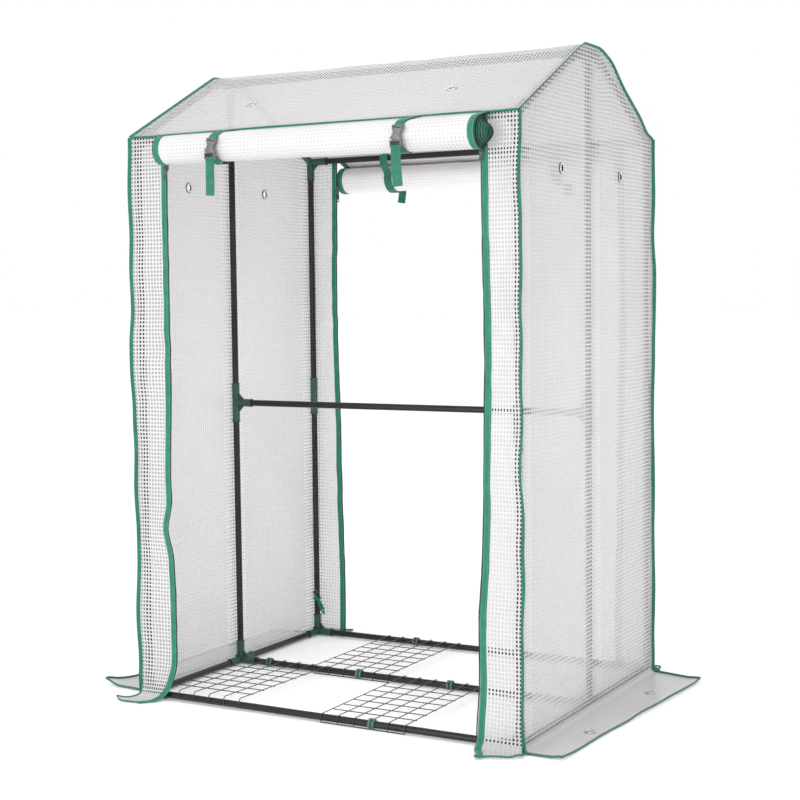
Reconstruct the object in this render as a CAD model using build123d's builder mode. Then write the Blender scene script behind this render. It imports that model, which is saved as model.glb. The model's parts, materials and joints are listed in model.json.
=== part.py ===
"""Walk-in mini greenhouse: a push-fit steel tube frame under a sewn mesh cover with two roll-up doors.

Millimetres. X runs along the door side, Y from front to back, Z up. The origin is on the ground,
under the middle of the base frame.
"""

import os
from math import atan2, cos, radians, sin

from build123d import *

os.makedirs("parts", exist_ok=True)

# ---- driving dimensions -------------------------------------------------------------------------
# Frame: centrelines of the tubes
post_x = 488.0  # side posts, left and right of the middle
post_y = 376.0  # corner posts, front and rear of the middle
base_z = 10.5  # base bars
bar_z = 683.0  # middle bar
coupler_z = 676.0  # joint between the two lengths of each corner post
eave_z = 1324.0
ridge_z = 1495.0
ridge_flat = 45.0  # half length of the level top of a ridge connector

tube_r = 8.0
tube_wall = 0.8
socket_bore = 8.1
socket_r = 9.7
collar_r = 10.5  # thicker rim at the mouth of each socket
collar_length = 4.0
socket_stop = 14.0  # solid core of a connector, where the tubes bottom out
base_arm = 48.0
side_arm = 50.0
eave_arm = 54.0
web_thickness = 3.0
web_leg = 24.0

# Cover: 1.5 mm stands for the mesh sheet with its scrim
sheet = 1.5
wall_x = 499.0  # inner face of the side walls
wall_y = 387.0  # inner face of the door strips
sheet_gap = 10.8  # from a tube's centreline to the inner face of the roof
hem_z = 3.0  # lower edge of walls and strips
door_edge = {  # from the middle to the inner edge of each door strip
    "front": {"left": 398.0, "right": 415.0},
    "rear": {"left": 411.0, "right": 411.0},
}
skirt = 2.0
skirt_root = 3.0  # from a wall's outer face to the inner edge of its skirt
side_skirt_x = 645.0
door_skirt_y = {"front": {"left": 450.0, "right": 474.0}, "rear": {"left": 464.0, "right": 464.0}}
door_skirt_cut = 38.0  # its outer corner lies this much nearer the cover

# Eyelets
eyelet_r = 12.5
eyelet_hole = 7.5
eyelet_barrel = 8.4
eyelet_flange = 0.9
sheet_hole = 8.5
wall_eyelet_y = 170.0
wall_eyelet_z = 1226.0
roof_eyelet_x = 265.0
roof_eyelet_y = 231.0
skirt_eyelet_x = 570.0
skirt_eyelet_y = 185.0

# Rolled doors with their straps and side-release buckles
roll_half = {"front": 405.5, "rear": 411.0}
roll_r = {"front": 34.0, "rear": 37.0}
roll_z = {"front": 1288.0, "rear": 1272.0}
roll_x = {"front": 24.5, "rear": 0.0}
strap_x = {"front": (-217.0, 255.0), "rear": (-250.0, 240.0)}
tail_z = {"front": 1180.0, "rear": 1206.0}
roll_gap = 1.0
hang_top = 1328.0
strap_width = 25.0
strap_thickness = 1.6
strap_gap = 0.4
buckle_width = 27.0
buckle_depth = 9.0
buckle_wall = 1.6
buckle_socket_length = 30.0
buckle_plug_length = 14.0

# Zips on the door strips
chain_width = 3.2
chain_depth = 2.4
slider_z = {"front": 1248.0, "rear": 1230.0}
slider_length = 20.0
slider_gap = 0.4
slider_plate = 1.4

# Wire shelves
wire_r = 1.1
wire_pitch = 43.0
wire_count = 6
cross_count = 7
cross_pitch = 46.0
wrap_r = tube_r + wire_r + 0.1
rear_hook = 12.0
clip_r = 10.4
clip_band = 6.0
clip_slot = 3.6

sides = {"left": -1, "right": 1}
ends = {"front": -1, "rear": 1}

roof_slope = atan2(ridge_z - eave_z, post_y - ridge_flat)


def write(part, name):
    """Label one sub-part and write it to its own file."""
    part.label = name
    export_step(part, f"parts/{name}.step")


def run(start, end, radius):
    """A round bar between two points, in the part that is being built."""
    line = Vector(*end) - Vector(*start)
    with BuildSketch(Plane(origin=start, z_dir=line)) as section:
        Circle(radius)
    extrude(section.sketch, amount=line.length)


def bore(start, end, radius):
    """A round hole between two points, in the part that is being built."""
    line = Vector(*end) - Vector(*start)
    with BuildSketch(Plane(origin=start, z_dir=line)) as section:
        Circle(radius)
    extrude(section.sketch, amount=line.length, mode=Mode.SUBTRACT)


def shift(point, direction, distance):
    """The point that lies a distance from another along a direction."""
    step = Vector(*direction).normalized() * distance
    return tuple(Vector(*point) + step)


# ---- tubes --------------------------------------------------------------------------------------
def tubes(name, *spans):
    """Straight steel tubes, one for each pair of end points, cut short by the connectors' cores."""
    solids = []
    for start, end in spans:
        line = Vector(*end) - Vector(*start)
        foot = shift(start, line, socket_stop)
        with BuildPart() as tube:
            with BuildSketch(Plane(origin=foot, z_dir=line)):
                Circle(tube_r)
                Circle(tube_r - tube_wall, mode=Mode.SUBTRACT)
            extrude(amount=line.length - 2 * socket_stop)
        solids.append(tube.part.solid())
    write(Compound(children=solids), name)


def tube_frame():
    """Base, posts, eave bars, rafters, ridge bar and middle bar."""
    for name, y in (("front", -post_y), ("middle", 0), ("rear", post_y)):
        tubes(f"base_cross_bar_{name}", ((-post_x, y, base_z), (post_x, y, base_z)))
    for name, side in sides.items():
        x = side * post_x
        foot, bar, top = (x, 0, base_z), (x, 0, bar_z), (x, 0, ridge_z)
        tubes(f"base_side_rails_{name}", *((foot, (x, end * post_y, base_z)) for end in ends.values()))
        tubes(f"middle_post_{name}", (foot, bar), (bar, top))
        for end_name, end in ends.items():
            y = end * post_y
            joint = (x, y, coupler_z)
            tubes(f"corner_post_{end_name}_{name}", ((x, y, base_z), joint), (joint, (x, y, eave_z)))
        rafters = (((x, end * post_y, eave_z), (x, end * ridge_flat, ridge_z)) for end in ends.values())
        tubes(f"rafters_{name}", *rafters)
    for name, end in ends.items():
        tubes(f"eave_bar_{name}", ((-post_x, end * post_y, eave_z), (post_x, end * post_y, eave_z)))
    tubes("ridge_bar", ((-post_x, 0, ridge_z), (post_x, 0, ridge_z)))
    tubes("middle_bar", ((-post_x, 0, bar_z), (post_x, 0, bar_z)))


# ---- connectors ---------------------------------------------------------------------------------
def connector(centre, arms, webs, level=0.0):
    """A moulded joint: one socket per arm (origin, direction, length), stiffened by webs.

    A web is a triangle between two of the arms. A level length joins two sloping sockets at a ridge.
    """
    with BuildPart() as joint:
        if level:
            run((centre[0], -level, centre[2]), (centre[0], level, centre[2]), socket_r)
        for origin, direction, length in arms:
            run(origin, shift(origin, direction, length), socket_r)
            rim = shift(origin, direction, length - collar_length)
            run(rim, shift(rim, direction, collar_length), collar_r)
        with Locations(*sorted({origin for origin, direction, length in arms})):
            Sphere(socket_r)
        for first, second in webs:
            corner = Vector(*centre)
            one, two = Vector(*first), Vector(*second)
            leg = socket_r + web_leg
            lift = one.cross(two) * -web_thickness / 2
            with BuildSketch(Plane(origin=corner + lift, x_dir=one, z_dir=one.cross(two))):
                with BuildLine():
                    Polyline((0, 0), (leg, 0), (0, leg), close=True)
                make_face()
            extrude(amount=web_thickness)
        for origin, direction, length in arms:
            bore(shift(origin, direction, socket_stop), shift(origin, direction, length + 1), socket_bore)
    return joint.part.solid()


def connectors():
    """Every plastic joint of the frame, grouped by kind."""
    up, down = (0, 0, 1), (0, 0, -1)
    corners, middles, couplers, tees, eaves, ridges = [], [], [], [], [], []
    for side in sides.values():
        x = side * post_x
        inward = (-side, 0, 0)
        for end in ends.values():
            y = end * post_y
            to_middle = (0, -end, 0)
            foot = (x, y, base_z)
            arms = [(foot, direction, base_arm) for direction in (up, inward, to_middle)]
            corners.append(connector(foot, arms, [(inward, up), (to_middle, up)]))
            joint = (x, y, coupler_z)
            couplers.append(connector(joint, [(joint, up, side_arm), (joint, down, side_arm)], []))
            eave = (x, y, eave_z)
            uphill = (0, -end * cos(roof_slope), sin(roof_slope))
            arms = [(eave, down, side_arm), (eave, inward, eave_arm), (eave, uphill, side_arm)]
            eaves.append(connector(eave, arms, [(inward, down)]))
        foot = (x, 0, base_z)
        arms = [(foot, direction, side_arm) for direction in (up, (0, 1, 0), (0, -1, 0))]
        arms.append((foot, inward, base_arm))
        middles.append(connector(foot, arms, [(inward, up), ((0, 1, 0), up), ((0, -1, 0), up)]))
        joint = (x, 0, bar_z)
        arms = [(joint, direction, side_arm) for direction in (up, down, inward)]
        tees.append(connector(joint, arms, [(inward, up), (inward, down)]))
        top = (x, 0, ridge_z)
        arms = [(top, down, side_arm), (top, inward, side_arm)]
        for end in ends.values():
            downhill = (0, end * cos(roof_slope), -sin(roof_slope))
            arms.append(((x, end * ridge_flat, ridge_z), downhill, side_arm))
        ridges.append(connector(top, arms, [(inward, down)], level=ridge_flat))
    write(Compound(children=corners), "base_corner_connectors")
    write(Compound(children=middles), "base_middle_connectors")
    write(Compound(children=couplers), "post_couplers")
    write(Compound(children=tees), "bar_tees")
    write(Compound(children=eaves), "eave_connectors")
    write(Compound(children=ridges), "ridge_connectors")


# ---- wire shelves and their clips ---------------------------------------------------------------
def wire_shelf(name, left, front, lift=0.0):
    """A welded wire shelf, hooked over the bar at its front and the bar half a base further back.

    lift is how far the front hooks stand above the bar.
    """
    rear = front + post_y
    low = wire_r + 0.2
    top = base_z + wrap_r
    cross_length = (wire_count - 1) * wire_pitch
    front_edge, rear_edge = front - wrap_r, rear + rear_hook
    with BuildPart() as shelf:
        for index in range(wire_count):
            with BuildLine(Plane.YZ.offset(left + index * wire_pitch)) as wire:
                FilletPolyline(
                    (front_edge, low + lift),
                    (front_edge, top + lift),
                    (rear_edge, top),
                    (rear_edge, low + wire_r),
                    radius=wrap_r - 0.5,
                )
            with BuildSketch(Plane(origin=wire.line @ 0, z_dir=wire.line % 0)):
                Circle(wire_r)
            sweep(path=wire.line)
        for edge, height in ((front_edge, low + lift), (rear_edge, low + wire_r)):
            run((left - wire_r, edge, height), (left + cross_length + wire_r, edge, height), wire_r)
        for index in range(cross_count):
            y = front + cross_pitch * (index + 1)
            slope = lift * (rear_edge - y) / (rear_edge - front_edge)
            height = top + slope - 2 * wire_r + 0.4
            run((left - wire_r, y, height), (left + cross_length + wire_r, y, height), wire_r)
    write(shelf.part, name)


def shelf_clip(x, y):
    """A double spring clip that holds one shelf wire down on a bar."""
    opening = radians(38)
    reach = 2 * clip_r
    half = clip_slot / 2
    with BuildPart() as clip:
        for start in (x - half - clip_band, x + half):
            with BuildSketch(Plane(origin=(start, y, base_z), x_dir=(0, 1, 0), z_dir=(1, 0, 0))):
                Circle(clip_r)
                Circle(socket_bore, mode=Mode.SUBTRACT)
                with BuildLine():
                    spread, drop = reach * sin(opening), -reach * cos(opening)
                    Polyline((0, 0), (spread, drop), (-spread, drop), close=True)
                make_face(mode=Mode.SUBTRACT)
            extrude(amount=clip_band)
        with BuildSketch(Plane.XY.offset(base_z + wrap_r + wire_r + 0.3)):
            with Locations((x, y)):
                Rectangle(clip_slot + 2 * clip_band, 7)
        extrude(amount=1.8)
        with BuildSketch(Plane.XY.offset(base_z + clip_r - 1.2)):
            with Locations((x - half - clip_band / 2, y), (x + half + clip_band / 2, y)):
                Rectangle(clip_band, 7)
        extrude(amount=1.8)
    return clip.part.solid()


def shelves():
    """Three shelves on the base and the clips on their wires."""
    first, second, third = -438.5, -256.0, 0.0
    wire_shelf("shelf_front_left", first, -post_y, lift=8.0)
    wire_shelf("shelf_front_right", third, -post_y)
    wire_shelf("shelf_rear", second, 0)
    clipped = (
        (third + 3 * wire_pitch, -post_y),
        (third + 3 * wire_pitch, 0),
        (second + 3 * wire_pitch, 0),
        (second + 2 * wire_pitch, post_y),
        (first + wire_pitch, 0),
    )
    write(Compound(children=[shelf_clip(x, y) for x, y in clipped]), "shelf_clips")


# ---- cover --------------------------------------------------------------------------------------
def roof_height(y):
    """Inner face of the roof above the frame, at a distance from the middle."""
    rise = sheet_gap / cos(roof_slope)
    sloping = eave_z + (post_y - abs(y)) * (ridge_z - eave_z) / (post_y - ridge_flat) + rise
    return min(sloping, ridge_z + sheet_gap)


def roof_corner():
    """Half width of the roof's level top."""
    rise = sheet_gap / cos(roof_slope) - sheet_gap
    return ridge_flat + rise / (ridge_z - eave_z) * (post_y - ridge_flat)


def wall(name, side):
    """A side wall with its gable, and two eyelet holes under the eave."""
    inner = min(side * wall_x, side * (wall_x + sheet))
    seam = 0.1
    flat = roof_corner()
    with BuildPart() as panel:
        with BuildSketch(Plane.YZ.offset(inner)):
            with BuildLine():
                Polyline(
                    (-wall_y, hem_z),
                    (-wall_y, roof_height(wall_y) - seam),
                    (-flat, roof_height(0) - seam),
                    (flat, roof_height(0) - seam),
                    (wall_y, roof_height(wall_y) - seam),
                    (wall_y, hem_z),
                    close=True,
                )
            make_face()
            with Locations((-wall_eyelet_y, wall_eyelet_z), (wall_eyelet_y, wall_eyelet_z)):
                Circle(sheet_hole, mode=Mode.SUBTRACT)
        extrude(amount=sheet)
    write(panel.part, name)


def roof_eyelet_planes():
    """Planes on the inner face of the roof, one at each of its eyelets."""
    planes = []
    for side in sides.values():
        for end in ends.values():
            spot = (side * roof_eyelet_x, end * roof_eyelet_y, roof_height(roof_eyelet_y))
            outward = (0, end * sin(roof_slope), cos(roof_slope))
            planes.append(Plane(origin=spot, x_dir=(1, 0, 0), z_dir=outward))
    return planes


def roof():
    """The folded roof sheet, from eave to eave."""
    edge = wall_y + sheet
    flat = roof_corner()
    lift = sheet / cos(roof_slope)
    top = roof_height(0)
    inset = (lift - sheet) / (ridge_z - eave_z) * (post_y - ridge_flat)
    with BuildPart() as panel:
        with BuildSketch(Plane.YZ.offset(-wall_x - sheet)):
            with BuildLine():
                Polyline(
                    (-edge, roof_height(edge)),
                    (-flat, top),
                    (flat, top),
                    (edge, roof_height(edge)),
                    (edge, roof_height(edge) + lift),
                    (flat + inset, top + sheet),
                    (-flat - inset, top + sheet),
                    (-edge, roof_height(edge) + lift),
                    close=True,
                )
            make_face()
        extrude(amount=2 * (wall_x + sheet))
        for plane in roof_eyelet_planes():
            with BuildSketch(plane.offset(-5)):
                Circle(sheet_hole)
            extrude(amount=10, mode=Mode.SUBTRACT)
    write(panel.part, "roof")


def strip(name, side, end, edge):
    """The fixed strip of cover beside a doorway, whose inner edge is at a distance from the middle."""
    low_y = min(end * wall_y, end * (wall_y + sheet))
    middle = side * (edge + wall_x + sheet) / 2
    top = roof_height(wall_y + sheet) - 0.1
    with BuildPart() as panel:
        with BuildSketch(Plane.XY.offset(hem_z)):
            with Locations((middle, low_y + sheet / 2)):
                Rectangle(wall_x + sheet - edge, sheet)
        extrude(amount=top - hem_z)
    write(panel.part, name)


def side_skirt(name, side):
    """The flap that lies on the ground along a side wall, with two eyelet holes."""
    root = wall_x + sheet + skirt_root
    spots = [(side * skirt_eyelet_x, end * skirt_eyelet_y) for end in ends.values()]
    with BuildPart() as flap:
        with BuildSketch():
            with Locations((side * (root + side_skirt_x) / 2, 0)):
                Rectangle(side_skirt_x - root, 2 * wall_y)
            with Locations(*spots):
                Circle(sheet_hole, mode=Mode.SUBTRACT)
        extrude(amount=skirt)
    write(flap.part, name)


def door_skirt(name, side, end, edge, reach):
    """The flap at the foot of a door strip, as wide as the strip, narrowing towards the corner."""
    root = wall_y + sheet + skirt_root
    outer = wall_x + sheet
    with BuildPart() as flap:
        with BuildSketch():
            with BuildLine():
                Polyline(
                    (side * edge, end * root),
                    (side * outer, end * root),
                    (side * outer, end * (reach - door_skirt_cut)),
                    (side * edge, end * reach),
                    close=True,
                )
            make_face()
        extrude(amount=skirt)
    write(flap.part, name)


def eyelet(plane, thickness, flanges=2):
    """A pressed ring through a sheet whose lower face lies on the plane."""
    low = -eyelet_flange if flanges == 2 else 0.1
    with BuildPart() as ring:
        with BuildSketch(plane.offset(low)):
            Circle(eyelet_barrel)
        extrude(amount=thickness - low)
        rims = [thickness] if flanges == 1 else [low, thickness]
        for height in rims:
            with BuildSketch(plane.offset(height)):
                Circle(eyelet_r)
            extrude(amount=eyelet_flange)
        with BuildSketch(plane.offset(low - 1)):
            Circle(eyelet_hole)
        extrude(amount=thickness + 2 * eyelet_flange + 2, mode=Mode.SUBTRACT)
    return ring.part.solid()


def eyelets():
    """Eyelets in the walls and roof, and those in each side skirt."""
    rings = [eyelet(plane, sheet) for plane in roof_eyelet_planes()]
    for side in sides.values():
        for end in ends.values():
            spot = (side * wall_x, end * wall_eyelet_y, wall_eyelet_z)
            rings.append(eyelet(Plane(origin=spot, z_dir=(side, 0, 0)), sheet))
    write(Compound(children=rings), "cover_eyelets")
    for name, side in sides.items():
        rings = []
        for end in ends.values():
            spot = (side * skirt_eyelet_x, end * skirt_eyelet_y, 0)
            rings.append(eyelet(Plane(origin=spot), skirt, flanges=1))
        write(Compound(children=rings), f"skirt_eyelets_{name}")


def cover():
    """Walls, roof, door strips and the skirts around them."""
    roof()
    for name, side in sides.items():
        wall(f"wall_{name}", side)
        side_skirt(f"skirt_{name}", side)
        for end_name, end in ends.items():
            edge = door_edge[end_name][name]
            strip(f"strip_{end_name}_{name}", side, end, edge)
            door_skirt(f"skirt_{end_name}_{name}", side, end, edge, door_skirt_y[end_name][name])
    eyelets()


# ---- rolled doors -------------------------------------------------------------------------------
def roll_y(end_name):
    """Distance of a roll's axis from the middle of the frame."""
    return wall_y + sheet + roll_gap + roll_r[end_name]


def loop_profile(end_name, end, grow):
    """Outline of the roll and the sheet that it hangs by, grown by a distance, as faces to add."""
    back = wall_y + sheet + roll_gap
    centre, radius, height = roll_y(end_name), roll_r[end_name], roll_z[end_name]
    top = hang_top if grow == 0 else hang_top - 1.0
    with Locations((end * centre, height)):
        Circle(radius + grow)
    with Locations((end * (back + sheet / 2), (height + top) / 2)):
        Rectangle(sheet + 2 * grow, top - height)


def door_roll(end_name, end):
    """The rolled-up door with the short length of sheet that joins it to the eave."""
    with BuildPart() as roll:
        with BuildSketch(Plane.YZ.offset(roll_x[end_name] - roll_half[end_name])):
            loop_profile(end_name, end, 0)
        extrude(amount=2 * roll_half[end_name])
    write(roll.part, f"door_roll_{end_name}")


def strap_loops(end_name, end):
    """The webbing loops that hold the roll up, open at the front where the buckle closes them."""
    depth = strap_gap + strap_thickness
    front = roll_y(end_name) + roll_r[end_name]
    gap_low, gap_high = buckle_span(end_name)
    loops = []
    for x in strap_x[end_name]:
        with BuildPart() as loop:
            with BuildSketch(Plane.YZ.offset(x - strap_width / 2)):
                loop_profile(end_name, end, depth)
            extrude(amount=strap_width)
            with BuildSketch(Plane.YZ.offset(x - strap_width / 2 - 1)):
                loop_profile(end_name, end, strap_gap)
                slot_top = (roll_z[end_name] + hang_top) / 2 + 10
                with Locations((end * (wall_y + sheet + roll_gap + sheet / 2), slot_top)):
                    Rectangle(sheet + 2 * strap_gap, hang_top - roll_z[end_name])
            extrude(amount=strap_width + 2, mode=Mode.SUBTRACT)
            with Locations((x, end * front, (gap_low + gap_high) / 2)):
                Box(strap_width + 2, 30, gap_high - gap_low + 0.6, mode=Mode.SUBTRACT)
        loops.extend(loop.part.solids())
    write(Compound(children=loops), f"roll_straps_{end_name}")


def buckle_span(end_name):
    """Lowest and highest point of a closed buckle."""
    high = roll_z[end_name] + 18
    return high - buckle_socket_length - buckle_plug_length, high


def buckle_middle(end_name):
    """Distance of a buckle's mid-plane from the middle of the frame."""
    clear = strap_gap + strap_thickness + 0.5
    return roll_y(end_name) + roll_r[end_name] + clear + buckle_depth / 2


def buckles(end_name, end):
    """Both halves of the buckles: a hollow socket above, and a plug with a webbing tail below."""
    low, high = buckle_span(end_name)
    y = end * buckle_middle(end_name)
    split = low + buckle_plug_length
    cavity_width = buckle_width - 2 * buckle_wall
    cavity_depth = buckle_depth - 2 * buckle_wall
    cavity_length = buckle_socket_length - 8
    window, window_length = 3.5, 12.0
    sockets = []
    for name, x in zip(("left", "right"), strap_x[end_name]):
        with BuildPart() as socket:
            with BuildSketch(Plane.XY.offset(split + 0.2)):
                with Locations((x, y)):
                    RectangleRounded(buckle_width, buckle_depth, 2)
            extrude(amount=buckle_socket_length - 0.2)
            with BuildSketch(Plane.XY.offset(split)):
                with Locations((x, y)):
                    Rectangle(cavity_width, cavity_depth)
            extrude(amount=cavity_length, mode=Mode.SUBTRACT)
            for edge in (-1, 1):
                with Locations((x + edge * buckle_width / 2, y, split + 13)):
                    Box(2 * window, buckle_depth + 2, window_length, mode=Mode.SUBTRACT)
            with Locations((x, y, high - 3.6)):
                Box(cavity_width, buckle_depth + 2, 3.0, mode=Mode.SUBTRACT)
        sockets.append(socket.part.solid())
        prong_gap = 0.4
        tongue_length = cavity_length - 2
        with BuildPart() as plug:
            with BuildSketch(Plane.XY.offset(low)):
                with Locations((x, y)):
                    RectangleRounded(buckle_width, buckle_depth - 1, 2)
            extrude(amount=buckle_plug_length - 0.2)
            with BuildSketch(Plane.XY.offset(split - 0.4)):
                with Locations((x, y)):
                    Rectangle(6, cavity_depth - 2 * prong_gap)
                prong = cavity_width / 2 - prong_gap - 1.5
                with Locations((x - prong, y), (x + prong, y)):
                    Rectangle(3, cavity_depth - 2 * prong_gap)
            extrude(amount=tongue_length)
            for height in (low + 4.0, low + 9.6):
                with Locations((x, y, height)):
                    Box(cavity_width, buckle_depth + 2, 2.6, mode=Mode.SUBTRACT)
        with BuildPart() as tail:
            with BuildSketch(Plane.XY.offset(tail_z[end_name])):
                with Locations((x, y)):
                    Rectangle(strap_width - 2, strap_thickness)
            extrude(amount=low - tail_z[end_name])
        halves = Compound(children=[plug.part.solid(), tail.part.solid()])
        write(halves, f"buckle_plug_{end_name}_{name}")
    write(Compound(children=sockets), f"buckle_sockets_{end_name}")


# ---- zips and ties ------------------------------------------------------------------------------
def zips():
    """A zip chain down the inner edge of each door strip, and its slider with a pull."""
    chains = []
    for end_name, end in ends.items():
        y = end * (wall_y + sheet / 2)
        for side_name, side in sides.items():
            x = side * (door_edge[end_name][side_name] - 0.1 - chain_width / 2)
            bottom = hem_z + 2
            with BuildPart() as chain:
                with Locations((x, y, (bottom + hang_top - 4) / 2)):
                    Box(chain_width, chain_depth, hang_top - 4 - bottom)
            chains.append(chain.part.solid())
            inside = chain_depth / 2 + slider_gap
            spine_x = x - side * (chain_width / 2 + slider_gap + slider_plate)
            plate_x = x + side * 2.0
            width = 11.0
            middle_z = slider_z[end_name] + slider_length / 2 - 3
            with BuildPart() as slider:
                for face in (-1, 1):
                    plate_y = y + face * (inside + slider_plate / 2)
                    with Locations((plate_x, plate_y, slider_z[end_name] + slider_length / 2)):
                        Box(width, slider_plate, slider_length)
                with Locations((spine_x + side * 0.2, y, slider_z[end_name] + slider_length / 2)):
                    Box(2.4, 2 * (inside + slider_plate), slider_length)
            pull_y = y + end * (inside + slider_plate + 1.2)
            with BuildPart() as pull:
                with BuildSketch(Plane(origin=(plate_x, pull_y, 0), x_dir=(1, 0, 0), z_dir=(0, -1, 0))):
                    with Locations((0, middle_z - 12)):
                        SlotOverall(30, 8, rotation=90)
                    with Locations((0, middle_z - 22)):
                        Circle(2.2, mode=Mode.SUBTRACT)
                extrude(amount=0.8, both=True)
            solids = [slider.part.solid(), pull.part.solid()]
            write(Compound(children=solids), f"zip_slider_{end_name}_{side_name}")
    write(Compound(children=chains), "zip_chains")


def cover_tie():
    """A tape tied round the rear left post, with its loop and hanging end."""
    x, y, height = -post_x, post_y, 101.0
    inner = tube_r + 0.3
    outer = inner + 2.2
    with BuildPart() as tie:
        with BuildSketch(Plane.XY.offset(height)):
            with Locations((x, y)):
                Circle(outer)
                Circle(inner, mode=Mode.SUBTRACT)
        extrude(amount=8)
        with BuildSketch(Plane.XZ.offset(-(y - 4))):
            with BuildLine():
                Polyline(
                    (x + 9.2, height + 8),
                    (x + 14, height + 8),
                    (x + 28, height - 22),
                    (x + 22, height - 50),
                    (x + 12, height - 26),
                    close=True,
                )
            make_face()
        extrude(amount=2.4)
    write(tie.part, "cover_tie")


tube_frame()
connectors()
shelves()
cover()
for end_name, end in ends.items():
    door_roll(end_name, end)
    strap_loops(end_name, end)
    buckles(end_name, end)
zips()
cover_tie()
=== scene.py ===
"""Looks of the walk-in mini greenhouse, built around its CAD frame.

Metres, in the frame of the CAD part: X along the door side, Y from the front door to the rear door,
Z up. The sheets of the cover, its tapes, straps, zips and eyelets replace their plain CAD stand-ins.
Tubes, connectors, shelves and clips keep their CAD shape and get their materials here.
"""

import json
from math import atan2, cos, hypot, pi, radians, sin, tau

import bmesh
import bpy
import numpy as np
from mathutils import Matrix, Vector


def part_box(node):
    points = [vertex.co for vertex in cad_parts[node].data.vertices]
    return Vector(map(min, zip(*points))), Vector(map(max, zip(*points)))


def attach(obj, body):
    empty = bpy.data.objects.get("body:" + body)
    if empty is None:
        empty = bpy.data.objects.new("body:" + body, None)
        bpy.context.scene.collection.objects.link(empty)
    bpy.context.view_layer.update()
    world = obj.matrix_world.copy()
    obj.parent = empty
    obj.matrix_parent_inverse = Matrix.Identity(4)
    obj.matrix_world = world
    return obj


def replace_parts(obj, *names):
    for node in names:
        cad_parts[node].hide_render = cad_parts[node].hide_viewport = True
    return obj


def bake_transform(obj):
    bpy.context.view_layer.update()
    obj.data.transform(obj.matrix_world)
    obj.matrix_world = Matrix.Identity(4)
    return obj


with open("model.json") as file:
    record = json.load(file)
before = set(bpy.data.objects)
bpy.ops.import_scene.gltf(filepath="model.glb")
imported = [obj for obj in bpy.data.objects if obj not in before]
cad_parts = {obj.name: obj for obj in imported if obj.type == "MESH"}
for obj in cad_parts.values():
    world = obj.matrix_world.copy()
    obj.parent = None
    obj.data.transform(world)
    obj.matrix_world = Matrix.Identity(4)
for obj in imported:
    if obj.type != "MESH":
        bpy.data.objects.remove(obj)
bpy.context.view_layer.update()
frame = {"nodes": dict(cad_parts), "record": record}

sides = {"left": -1, "right": 1}
ends = {"front": -1, "rear": 1}


# ---- places taken from the frame ----------------------------------------------------------------
def middle(node):
    """The middle of a CAD node's box."""
    low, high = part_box(node)
    return (low + high) / 2


wall_x = middle("wall_right").x
strip_y = middle("strip_rear_right").y
post_y = middle("eave_bar_rear").y
eave_bar_z = middle("eave_bar_rear").z
ridge_bar_z = middle("ridge_bar").z
ridge_flat = 0.045  # half length of the level top of a ridge connector
slope = atan2(ridge_bar_z - eave_bar_z, post_y - ridge_flat)
sheet_half = 0.00075  # half the thickness of the sheet's CAD stand-in
roof_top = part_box("roof")[1].z - sheet_half
roof_flat = ridge_flat + 0.0026
slope_length = (strip_y + 0.001 - roof_flat) / cos(slope)
foot_z = 0.012  # where a wall or strip ends and the flap at its foot begins
hang_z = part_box("door_roll_front")[1].z

# Cells and thread width of the mesh sheet's scrim; the front right strip has narrower cells
cell_wide, cell_narrow, cell_long = 0.0085, 0.0072, 0.0091
thread = 0.0034

slider_low = 0.105  # height of a zip slider at the low end of its run
strip_rise, flap_rise = 0.0016, 0.0009  # of the feet of the strips and of the side flaps, off the ground

# How far away the film still shows a tube clearly: a wall its posts, looked at from a slant, its base rails
# and its rafters, and the roof its rafters and the ridge bar
wall_shows_post, wall_shows_rail, wall_shows_rafter = 0.042, 0.030, 0.036
roof_shows_rafter, roof_shows_ridge = 0.034, 0.125

# Tapes
binding_width, binding_depth = 0.0098, 0.0018
band_width, band_depth = 0.0155, 0.0026
webbing_width = 0.0235

# Eyelets: radius of the cut in the sheet, and places on a wall (y, z), the roof (x, y) and a side flap (y, x)
eyelet_cut = 0.0092
wall_eyelet = (0.170, 1.226)
roof_eyelet = (0.265, 0.231)
flap_eyelet = (0.185, 0.570)


# ---- small helpers on arrays --------------------------------------------------------------------
def ease(value):
    """Smooth step from 0 to 1."""
    value = np.clip(value, 0, 1)
    return value * value * (3 - 2 * value)


def bump(value, centre, width):
    """A smooth hump, 1 at its centre."""
    return np.exp(-(((value - centre) / width) ** 2))


def lumps(u, v, size_u, size_v, seed):
    """Smooth noise from -1 to 1 over a sheet, with lumps of about the sizes given."""
    table = np.random.default_rng(seed).uniform(-1, 1, (64, 64))
    x, y = np.asarray(u) / size_u + 90.0, np.asarray(v) / size_v + 90.0
    column, row = np.floor(x).astype(int), np.floor(y).astype(int)
    along, across = ease(x - column), ease(y - row)
    near = table[column % 64, row % 64] * (1 - along) + table[(column + 1) % 64, row % 64] * along
    far_row = (row + 1) % 64
    far = table[column % 64, far_row] * (1 - along) + table[(column + 1) % 64, far_row] * along
    return near * (1 - across) + far * across


def wander(u, size, seed):
    """Smooth noise from -1 to 1 along a line."""
    return lumps(u, 0 * u, size, 1, seed)


def stack(x, y, z):
    """Points from three coordinates, any of which may be a single number."""
    return np.stack(np.broadcast_arrays(x, y, z), -1).astype(float)


def unit(vectors):
    """The vectors at length 1."""
    return vectors / np.linalg.norm(vectors, axis=-1, keepdims=True)


# ---- materials ----------------------------------------------------------------------------------
def new_material(name, roughness=0.5, **plain):
    """A material with its Principled shader; plain values go straight to the shader's sockets."""
    material = bpy.data.materials.new(name)
    material.use_nodes = True
    shader = material.node_tree.nodes["Principled BSDF"]
    shader.inputs["Roughness"].default_value = roughness
    for socket, value in plain.items():
        shader.inputs[socket.replace("_", " ")].default_value = value
    return material, material.node_tree, shader


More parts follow.
